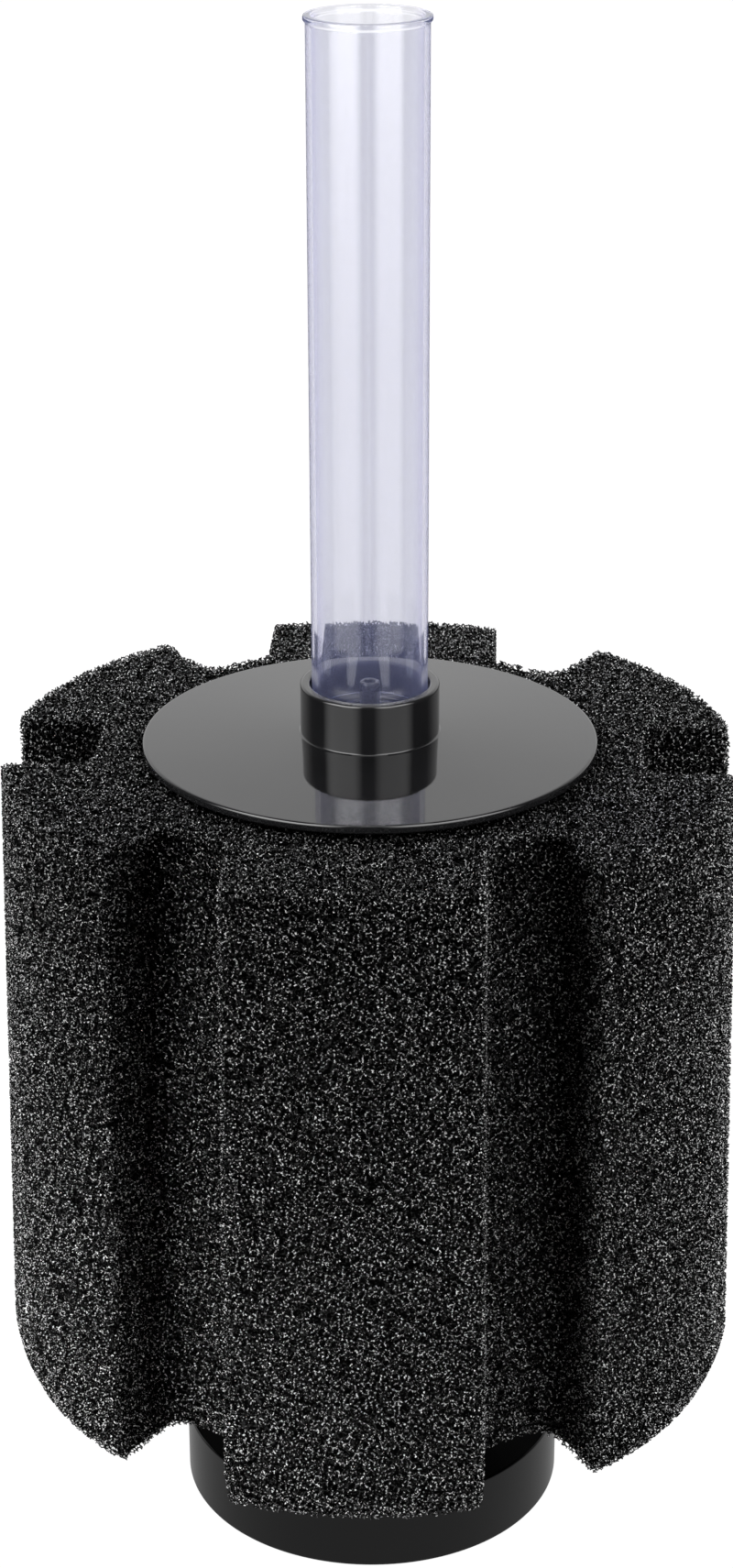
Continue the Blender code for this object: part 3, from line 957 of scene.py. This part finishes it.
def joints():
    """The joints in the skin layer.

    Gives each one's place and depth, and for its four ways: the place ahead, the direction,
    the length, the joint there (-1 for none) and the face that joint shows.
    """
    tile, neighbour, face, shift, size = foam_tile(cells=6, jitter=0.16, seed=5, relax=5)
    tile_count = len(tile)
    turn = rotation(seed=11)
    middle = np.array((0.37, 0.61, (Z0 + Z1) / 2))
    edge = size * CELL
    reach = int(math.ceil(math.sqrt(2 * SPONGE_R**2 + ((Z1 - Z0) / 2) ** 2) / edge)) + 1
    grid = cube_grid(np.arange(-reach, reach))
    # only the tiles that touch the skin layer
    half = edge * math.sqrt(3) / 2 + 0.6
    tile_depth = skin(((grid + 0.5) * edge) @ turn.T + middle)
    grid = grid[(tile_depth < half) & (tile_depth > -half - DEPTH)]
    points = ((tile[None] + grid[:, None] * size) * CELL).reshape(-1, 3) @ turn.T + middle
    # a slow drift so that no two stretches of the foam repeat
    wave = 2 * math.pi / DRIFT_LENGTH
    points = points + DRIFT * np.sin(wave * points[:, [1, 2, 0]] + np.array((1.0, 2.1, 0.4)))
    depth = skin(points)
    bore = np.hypot(points[:, 0], points[:, 1])
    held = (depth < -0.02) & (depth > -DEPTH) & (bore > BORE_R + 0.1)
    low = grid.min(0) - 1
    span = grid.max(0) + 2 - low
    table = np.full(int(np.prod(span)), -1)  # grid cell to tile number

    def cell_index(cell):
        c = cell - low
        return (c[..., 0] * span[1] + c[..., 1]) * span[2] + c[..., 2]

    table[cell_index(grid)] = np.arange(len(grid))
    kept = np.where(held)[0]
    # drop stray pieces and joints with one strut, until one connected net is left
    while True:
        local, tile_of = kept % tile_count, kept // tile_count
        tile_to = table[cell_index(grid[tile_of][:, None] + shift[local])]
        other = np.where(tile_to < 0, -1, tile_to * tile_count + neighbour[local])
        renumber = np.full(len(points) + 1, -1)
        renumber[kept] = np.arange(len(kept))
        partner = renumber[other]
        struts = (partner >= 0).sum(1)
        good = main_net(np.arange(len(kept)), partner) & (struts > 1)
        if good.all():
            break
        kept = kept[good]
    here = points[kept]
    ahead = points[np.where(other < 0, 0, other)]
    way = ahead - here[:, None]
    length = np.linalg.norm(way, axis=2)
    way = way / np.maximum(length, 1e-9)[:, :, None]
    return here, depth[kept], ahead, way, length, partner, face[local]


def face_ring(corner, joint, side, way):
    """Point ids of the three corners of joints' faces, anticlockwise seen from ahead."""
    ids = np.broadcast_to(FACE_CORNERS[side], (len(joint), 3))
    p = corner[joint[:, None], ids]
    normal = np.cross(p[:, 1] - p[:, 0], p[:, 2] - p[:, 0])
    wrong = (normal * way).sum(1) < 0
    return joint[:, None] * 4 + np.where(wrong[:, None], ids[:, ::-1], ids)


def flared(points):
    """Widens the foam towards its foot, over a softened bottom edge; the bore stays straight."""
    z = points[:, 2]
    share = np.clip((np.hypot(points[:, 0], points[:, 1]) - 14.0) / 26.0, 0, 1)
    share = share * share * (3 - 2 * share)
    wide = FLARE_TOP + (FLARE_FOOT - FLARE_TOP) * (Z1 - z) / (Z1 - Z0)
    wide = wide - (FLARE_FOOT - 1.0) * np.clip(1 - (z - Z0) / 8.0, 0, 1) ** 2
    out = np.array(points, np.float64)
    out[:, :2] *= (1 + (wide - 1) * share)[:, None]
    return out


class NetMesh:
    """Points and triangles of the net, each owned by one block."""

    def __init__(self, points, blocks):
        self.points, self.point_blocks = [points], [blocks]
        self.count = len(points)
        self.triangles, self.owners = [], []

    def add_faces(self, triangles, blocks):
        self.triangles.append(triangles)
        self.owners.append(blocks)

    def add_rings(self, rings, blocks):
        """New points in threes; gives back their ids."""
        ids = self.count + np.arange(len(rings) * 3).reshape(-1, 3)
        self.points.append(rings.reshape(-1, 3))
        self.point_blocks.append(np.repeat(blocks, 3))
        self.count += len(rings) * 3
        return ids

    def wall(self, a, b, blocks):
        """The three sides of struts between rings a and b."""
        for k in range(3):
            m = (k + 1) % 3
            self.add_faces(np.stack([a[:, k], a[:, m], b[:, m]], 1), blocks)
            self.add_faces(np.stack([a[:, k], b[:, m], b[:, k]], 1), blocks)

    def by_block(self):
        """Each block's number, flared points and triangles."""
        points, blocks = np.concatenate(self.points), np.concatenate(self.point_blocks)
        triangles, owners = np.concatenate(self.triangles), np.concatenate(self.owners)
        for number in range(len(LOBES) * LEVELS):
            mine = np.where(blocks == number)[0]
            renumber = np.full(len(points), -1, np.int32)
            renumber[mine] = np.arange(len(mine))
            yield number, flared(points[mine]), renumber[triangles[owners == number]]


def foam_net():
    here, depth, ahead, way, length, partner, face = joints()
    count = len(here)
    fat = STRUT * np.random.RandomState(3).uniform(0.8, 1.2, count)
    corner = here[:, None] - way * fat[:, None, None]
    degrees = np.degrees(np.arctan2(here[:, 1], here[:, 0]))
    sector = np.floor(((degrees + 120.0) % 360.0) / 60.0)
    level = np.searchsorted(CUTS, (here[:, 2] - Z0) / (Z1 - Z0))
    block = (sector * LEVELS + level).astype(int)
    flat = corner.reshape(-1, 3)
    net = NetMesh(flat, np.repeat(block, 4))
    who = np.arange(count)
    for side in range(4):
        other = partner[:, side]
        tied = other >= 0
        same = tied & (block[other] == block)
        beyond = skin(ahead[:, side])
        outward = ~tied & (beyond >= 0)
        inward = ~tied & ~outward

        # struts between two joints, with the far ring turned to match the near one
        a = np.where(tied & (other > who))[0]
        b = other[a]
        near = face_ring(corner, a, side, way[a, side])
        far = face_ring(corner, b, face[a, side], way[a, side])
        twist = np.stack(
            [
                ((flat[near] - flat[np.roll(far, -k, axis=1)]) ** 2).sum((1, 2))
                for k in range(3)
            ],
            1,
        ).argmin(1)
        far = np.take_along_axis(far, (np.arange(3)[None] + twist[:, None]) % 3, 1)
        inside = same[a]
        net.wall(near[inside], far[inside], block[a[inside]])
        # a strut between blocks belongs to the near one, with an end of its own
        crossing = ~inside
        owner = block[a[crossing]]
        end = net.add_rings(flat[far[crossing]], owner)
        net.wall(near[crossing], end, owner)
        net.add_faces(end, owner)

        # faces with no strut of their own block's: closed flat
        shut = np.where(inward | (tied & ~same & (other < who)))[0]
        net.add_faces(face_ring(corner, shut, side, way[shut, side]), block[shut])

        # struts cut where they reach the skin
        cut = np.where(outward)[0]
        onward = way[cut, side]
        share = -depth[cut] / np.maximum(beyond[cut] - depth[cut], 1e-6)
        travel = np.maximum(length[cut, side] * np.clip(share, 0, 1), MIN_STUB)
        root = face_ring(corner, cut, side, onward)
        ring = flat[root]
        along = ((ring - here[cut][:, None]) * onward[:, None]).sum(2)
        tip = ring + onward[:, None] * (travel[:, None] - along)[:, :, None]
        centre = tip.mean(1, keepdims=True)
        tip = net.add_rings(centre + (tip - centre) * STUB_TAPER, block[cut])
        net.wall(root, tip, block[cut])
        net.add_faces(tip, block[cut])
    return net


def bake_map(mesh, points):
    """A light UV map laid from each point's place, so that no unwrap is needed."""
    margin, span = 0.02, 0.96
    low, high = points.min(0), points.max(0)
    p = (points - low) / np.maximum(high - low, 1e-6)
    across = 0.62 * p[:, 0] + 0.38 * p[:, 1]  # x and y share the map's width
    uv = np.stack([margin + span * across, margin + span * p[:, 2]], 1)
    corner = np.empty(len(mesh.loops), np.int32)
    mesh.loops.foreach_get("vertex_index", corner)
    layer = mesh.uv_layers.new(name="OFBake")
    layer.uv.foreach_set("vector", uv[corner].astype(np.float32).ravel())


def foam_blocks():
    for number, points, faces in foam_net().by_block():
        name = f"foam_{LOBES[number // LEVELS]}_{number % LEVELS + 1}"
        mesh = mesh_from(name, points, faces, np.arange(len(faces)) * 3)
        bake_map(mesh, points)
        place(link(name, mesh), FOAM, "foam", "black_foam", "sponge")


# ---- the foam's dark inside ---------------------------------------------------------
HEART_INSET = 0.72  # how far it lies under the foam's faces


def unit_normals(way):
    """Outward unit normals of the outline's sides, as seen in plan."""
    normal = np.stack([way[:, 1], -way[:, 0]], 1)
    normal /= np.maximum(np.linalg.norm(normal, axis=1, keepdims=True), 1e-9)
    return normal


def foam_heart():
    """A solid of the sponge's shape, set in from its faces, with the bore through it."""
    before = unit_normals(OUTLINE - np.roll(OUTLINE, 1, axis=0))
    after = unit_normals(np.roll(OUTLINE, -1, axis=0) - OUTLINE)
    both = before + after
    both /= np.linalg.norm(both, axis=1, keepdims=True)
    scale = 1.0 / np.maximum((both * before).sum(1), 0.35)
    ring = OUTLINE - both * (HEART_INSET * scale)[:, None]
    # points that came too near another side are left out
    ring = ring[outline_distance(ring) < -(HEART_INSET - 0.06)]
    bore = [on_circle(BORE_R, 2 * math.pi * k / 48)[:2] for k in range(48)]
    low, high = Z0 + HEART_INSET, Z1 - HEART_INSET
    bm = bmesh.new()
    edges = []
    for loop in (ring, bore):
        verts = [bm.verts.new((x * MM, y * MM, low * MM)) for x, y in loop]
        edges += [bm.edges.new(pair) for pair in zip(verts, verts[1:] + verts[:1])]
    bmesh.ops.triangle_fill(bm, use_beauty=True, edges=edges)
    swept = bmesh.ops.extrude_face_region(bm, geom=list(bm.faces))
    top = [item for item in swept["geom"] if isinstance(item, bmesh.types.BMVert)]
    bmesh.ops.translate(bm, verts=top, vec=(0, 0, (high - low) * MM))
    bmesh.ops.recalc_face_normals(bm, faces=bm.faces)
    for vert in bm.verts:
        x, y, z = flared(np.array([vert.co]) / MM)[0]
        vert.co = (x * MM, y * MM, z * MM)
    mesh = bpy.data.meshes.new("foam_inside")
    bm.to_mesh(mesh)
    bm.free()
    place(link("foam_inside", mesh), HEART, "foam", "black_foam")


# ---- floor and world; metres from here on ---------------------------------------------
LOOK = math.radians(-87.15)  # the camera's side, as an angle about the z axis


def floor_material():
    """Near white to the eye; reflections see a bright patch round the base, dimmer further out."""
    n = Nodes("floor")
    pale = n.noise(scale=3.0, detail=2.0)
    diffuse = n.shader(
        "ShaderNodeBsdfDiffuse", Color=n.ramp(pale, (0.3, 0.80), (0.7, 0.82))
    )
    path = n.add("ShaderNodeLightPath")
    # glow at 70 mm and at 160 mm from the axis
    patch = n.ramp(n.vector("LENGTH", n.place()), (0.07, 0.36), (0.16, 0.06))
    direct = n.math(
        "MAXIMUM", path.outputs["Is Camera Ray"], path.outputs["Is Transmission Ray"]
    )
    mirrored = n.shader("ShaderNodeEmission", Color=patch)
    glow = n.shader("ShaderNodeEmission", Color=(1, 1, 1, 1), Strength=0.93)
    soft = n.mixed(0.88, diffuse, glow)  # mostly glow, so shadows stay faint
    lift = n.shader("ShaderNodeEmission", Color=(1, 1, 1, 1), Strength=0.19)
    seen = n.add("ShaderNodeAddShader")
    n.feed(seen.inputs[0], soft)
    n.feed(seen.inputs[1], lift)
    return n.finish(n.mixed(direct, mirrored, seen.outputs[0]))


def floor():
    half = 30.0
    mat = floor_material()
    mesh = bpy.data.meshes.new("floor")
    corners = [(-half, -half, 0), (half, -half, 0), (half, half, 0), (-half, half, 0)]
    mesh.from_pydata(corners, [], [(0, 1, 2, 3)])
    obj = link("floor", mesh)
    obj.location = (0, 0, -0.0003)
    mesh.materials.append(mat)


def studio_world():
    """White surroundings, bright behind the filter and dim elsewhere."""
    world = bpy.data.worlds.new("studio")
    bpy.context.scene.world = world
    world.use_nodes = True
    tree = world.node_tree
    background = tree.nodes["Background"]
    background.inputs["Color"].default_value = (1, 1, 1, 1)
    coords = tree.nodes.new("ShaderNodeTexCoord")
    facing = tree.nodes.new("ShaderNodeVectorMath")
    facing.operation = "DOT_PRODUCT"
    facing.inputs[1].default_value = on_circle(-1.0, LOOK)
    tree.links.new(coords.outputs["Generated"], facing.inputs[0])
    fade = tree.nodes.new("ShaderNodeMapRange")
    fade.interpolation_type = "SMOOTHSTEP"
    # the facing cosine, and the brightness at each end of it
    limits = {"From Min": 0.25, "From Max": 0.7, "To Min": 0.08, "To Max": 1.25}
    for key, value in limits.items():
        fade.inputs[key].default_value = value
    tree.links.new(facing.outputs["Value"], fade.inputs["Value"])
    tree.links.new(fade.outputs["Result"], background.inputs["Strength"])


# ---- lights; azimuths are degrees anticlockwise from the camera's side ------------------
def lit_only(light, members):
    """Keeps a light to some of the pieces."""
    group = bpy.data.collections.new(light.name + "_lights")
    for member in members:
        group.objects.link(member)
    light.light_linking.receiver_collection = group


def panel(name, width, height, location, toward, up):
    """A rectangular area light that faces along a direction."""
    light = bpy.data.lights.new(name, "AREA")
    light.shape = "RECTANGLE"
    light.size = width
    light.size_y = height
    obj = link(name, light)
    obj.location = location
    obj.rotation_euler = toward.to_track_quat("-Z", up).to_euler()
    return obj


def reflector_material(name, middle, low_strength, high_strength):
    """A glow with soft sides that grows with the cube of the height."""
    n = Nodes(name)
    unit = n.vector("NORMALIZE", n.in_plan())
    facing = n.vector("DOT_PRODUCT", unit, on_circle(1.0, middle))
    # dark at 37 degrees from the middle, full within 15
    sides = n.add(
        "ShaderNodeMapRange",
        interpolation_type="SMOOTHSTEP",
        From_Min=math.cos(math.radians(37.0)),
        From_Max=math.cos(math.radians(15.0)),
        Value=facing,
    ).outputs["Result"]
    height = n.add("ShaderNodeSeparateXYZ", Vector=n.place()).outputs["Z"]
    full_height = 0.28
    rise = n.math("POWER", n.math("DIVIDE", height, full_height), 3.0)
    rise = n.math("MINIMUM", rise, 1.0)
    glow = n.math("MULTIPLY_ADD", rise, high_strength - low_strength, low_strength)
    strength = n.math("MULTIPLY", glow, sides)
    return n.finish(n.shader("ShaderNodeEmission", Color=(1, 1, 1, 1), Strength=strength))


def reflector(name, azimuth, low_strength, high_strength):
    """An unseen curved upright reflector that glows more strongly upwards."""
    middle = LOOK + math.radians(azimuth)
    radius, foot, top = 0.37, 0.002, 0.6
    half_span, columns = 38.0, 24
    points = []
    for z in (foot, top):
        for k in range(columns + 1):
            angle = middle + math.radians(-half_span + 2 * half_span * k / columns)
            points.append(on_circle(radius, angle, z))
    faces = [(k, k + 1, k + columns + 2, k + columns + 1) for k in range(columns)]
    mesh = bpy.data.meshes.new(name)
    mesh.from_pydata(points, [], faces)
    obj = link(name, mesh)
    mesh.materials.append(reflector_material(name, middle, low_strength, high_strength))
    obj.visible_camera = False
    obj.visible_shadow = False
    return obj


def overhead_light():
    """A lamp above and before the filter, aimed at its middle."""
    location = on_circle(0.16, LOOK, 0.62)
    toward = Vector((0, 0, 0.15)) - Vector(location)
    lamp = panel("overhead", 0.34, 0.10, location, toward, up="Y")
    lamp.data.energy = 7.0 * math.pi * lamp.data.size * lamp.data.size_y
    return lamp


def soft_light(name, azimuth, distance, low, high, width, strength):
    """An upright strip light that faces the filter."""
    angle = LOOK + math.radians(azimuth)
    location = on_circle(distance, angle, (low + high) / 2)
    lamp = panel(name, width, high - low, location, Vector(on_circle(-1.0, angle)), up="Z")
    lamp.data.energy = strength * math.pi * width * (high - low)
    return lamp


# name, azimuth, distance from the axis, low edge, high edge, width, strength
FOAM_LIGHTS = (
    ("front_left", -42.0, 0.30, 0.0, 0.09, 0.12, 7.0),
    ("low_left", -42.0, 0.19, 0.0, 0.05, 0.10, 16.0),
    ("front_right", 34.0, 0.30, 0.0, 0.09, 0.14, 8.0),
    ("side_left", -66.0, 0.30, 0.0, 0.26, 0.2, 0.9),
    ("side_right", 66.0, 0.30, 0.0, 0.26, 0.2, 3.6),
    ("high_left", -125.0, 0.30, 0.24, 0.46, 0.2, 12.0),
    ("high_right", 128.0, 0.30, 0.24, 0.46, 0.2, 5.0),
)


def lights(cap, tube, diffuser):
    foam = [obj for obj in bpy.context.scene.objects if obj.name.startswith("foam_")]
    left = reflector("reflector_left", azimuth=-47.0, low_strength=1.8, high_strength=9.0)
    right = reflector("reflector_right", azimuth=41.0, low_strength=1.7, high_strength=6.5)
    for light in (left, right):
        lit_only(light, [cap, tube, diffuser])
    lit_only(overhead_light(), [cap, tube])
    for row in FOAM_LIGHTS:
        lit_only(soft_light(*row), foam)


# ---- camera -----------------------------------------------------------------------------
def viewpoint():
    """A camera in front of the filter and above it, looking down at it."""
    camera = bpy.data.cameras.new("camera")
    camera.sensor_fit = "VERTICAL"
    camera.sensor_height = 36.0
    camera.lens = 73.2
    camera.clip_start = 0.01
    camera.clip_end = 50.0
    camera.shift_x = -0.0023
    viewer = link("camera", camera)
    distance, height = 0.512, 0.3558
    tilt, roll = math.radians(22.93), -0.003
    spot = Vector(on_circle(distance, LOOK, height))
    toward = Vector(on_circle(-math.cos(tilt), LOOK, -math.sin(tilt)))
    side = toward.cross(Vector((0, 0, 1))).normalized()
    up = side.cross(toward).normalized()
    side, up = (
        side * math.cos(roll) + up * math.sin(roll),
        up * math.cos(roll) - side * math.sin(roll),
    )
    viewer.matrix_world = Matrix(
        (
            (side.x, up.x, -toward.x, spot.x),
            (side.y, up.y, -toward.y, spot.y),
            (side.z, up.z, -toward.z, spot.z),
            (0, 0, 0, 1),
        )
    )
    bpy.context.scene.camera = viewer
    bpy.context.scene.view_settings.view_transform = "Standard"


# ---- the whole filter ---------------------------------------------------------------------
base_housing()
base_weight()
base_cover()
lower_plate()
cap = top_cap()
tube = lift_tube()
strainer_core()
diffuser = diffuser_body()
diffuser_cap()
foam_blocks()
foam_heart()

floor()
studio_world()
lights(cap, tube, diffuser)
viewpoint()

# CAD pieces that still show are satin black
for obj in frame["nodes"].values():
    if not obj.hide_render:
        obj.data.materials.clear()
        obj.data.materials.append(SATIN)
